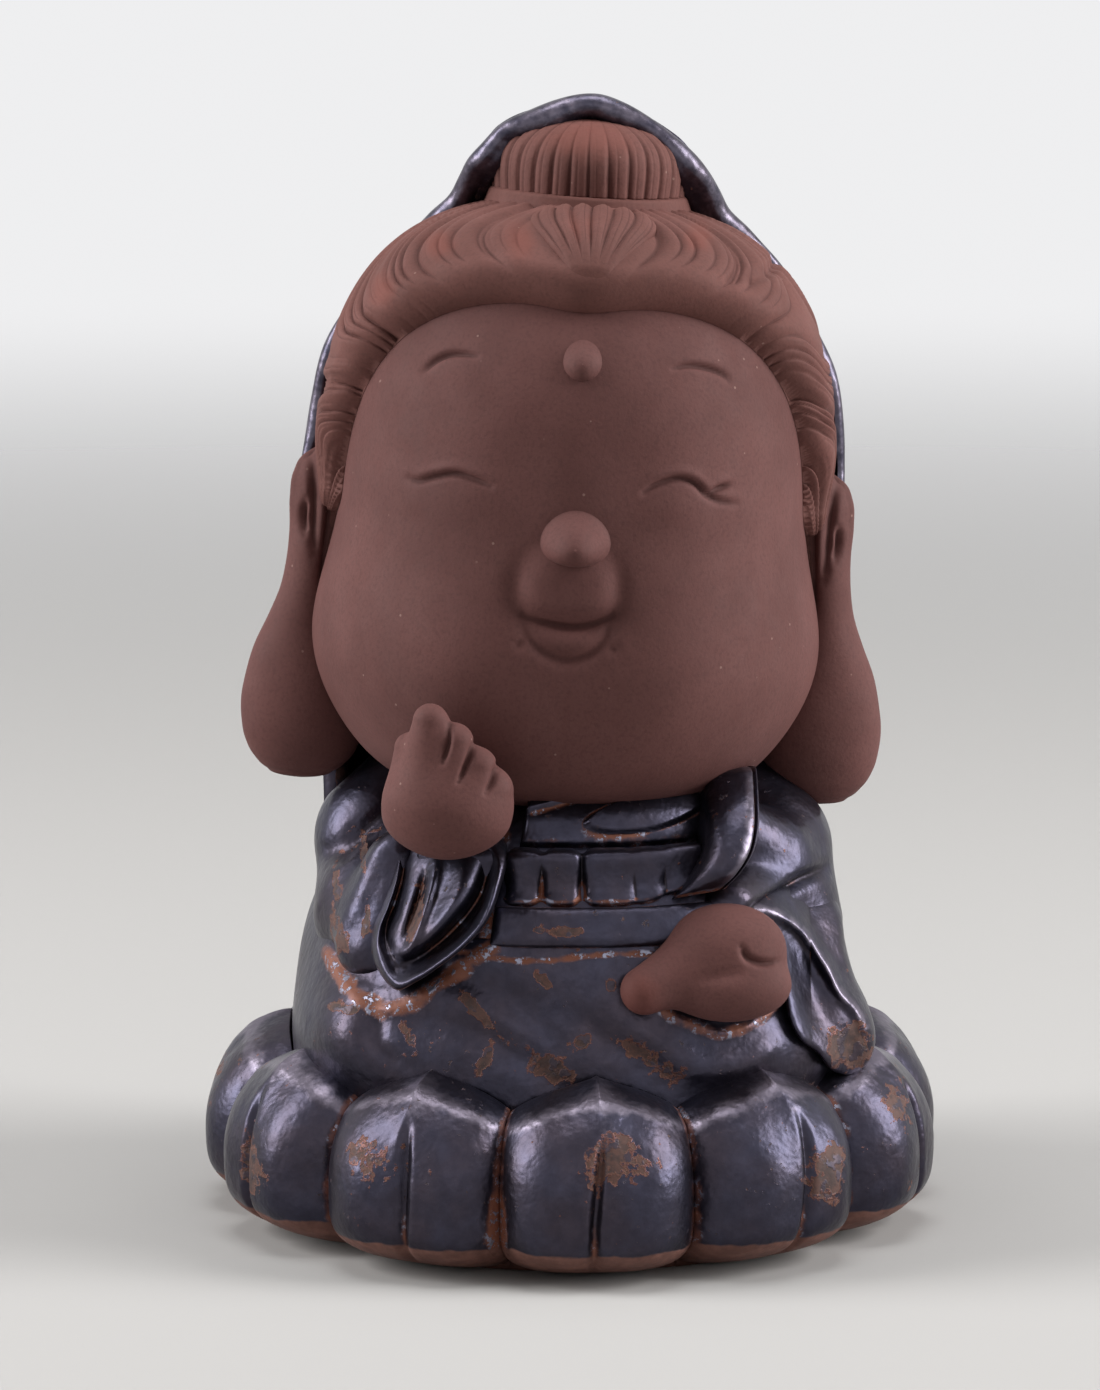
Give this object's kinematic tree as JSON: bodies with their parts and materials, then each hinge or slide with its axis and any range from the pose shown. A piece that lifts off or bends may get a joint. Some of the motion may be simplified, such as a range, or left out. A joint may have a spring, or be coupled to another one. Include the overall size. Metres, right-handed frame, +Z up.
{
  "type": "tea pet",
  "caption": "Small seated veiled clay figure on a lotus seat, bare clay face and hair, dark metallic glaze on veil, robe and petals.",
  "frame": {"origin": "middle of the foot, on the table", "axes": "+Z up, the figure faces -Y, +X towards the figure's left hand"},
  "size_m": [0.0659, 0.0659, 0.1002],
  "materials": {
    "bare_clay": "unglazed purple-brown clay, matt",
    "hair_clay": "unglazed clay with combed grooves, matt",
    "robe_glaze": "dark metallic glaze, broken to rust brown at the edges",
    "veil_glaze": "dark metallic glaze, thick and glossy along the rolled edge",
    "petal_glaze": "dark metallic glaze that stops short of the bare clay foot"
  },
  "bodies": {
    "root": {"base_slab": "bare_clay", "lotus_drum": "bare_clay", "face_shell": "bare_clay", "head_back_shell": "bare_clay", "nose_button": "bare_clay", "brow_bead": "bare_clay", "right_ear": "bare_clay", "left_ear": "bare_clay", "right_hand": "bare_clay", "left_hand": "bare_clay", "hair_cap": "hair_clay", "hair_tuft": "hair_clay", "bun_band": "hair_clay", "hair_bun": "hair_clay", "lap_shell": "robe_glaze", "robe_front_shell": "robe_glaze", "robe_back_shell": "robe_glaze", "belt_band": "robe_glaze", "bodice_band": "robe_glaze", "collar_drape": "robe_glaze", "left_lapel": "robe_glaze", "right_sleeve": "robe_glaze", "left_sleeve": "robe_glaze", "right_cuff": "robe_glaze", "left_cuff": "robe_glaze", "veil": "veil_glaze", "lotus_petal_01": "petal_glaze", "lotus_petal_02": "petal_glaze", "lotus_petal_03": "petal_glaze", "lotus_petal_04": "petal_glaze", "lotus_petal_05": "petal_glaze", "lotus_petal_06": "petal_glaze", "lotus_petal_07": "petal_glaze", "lotus_petal_08": "petal_glaze", "lotus_petal_09": "petal_glaze", "lotus_petal_10": "petal_glaze", "lotus_petal_11": "petal_glaze"}
  },
  "joints": []
}
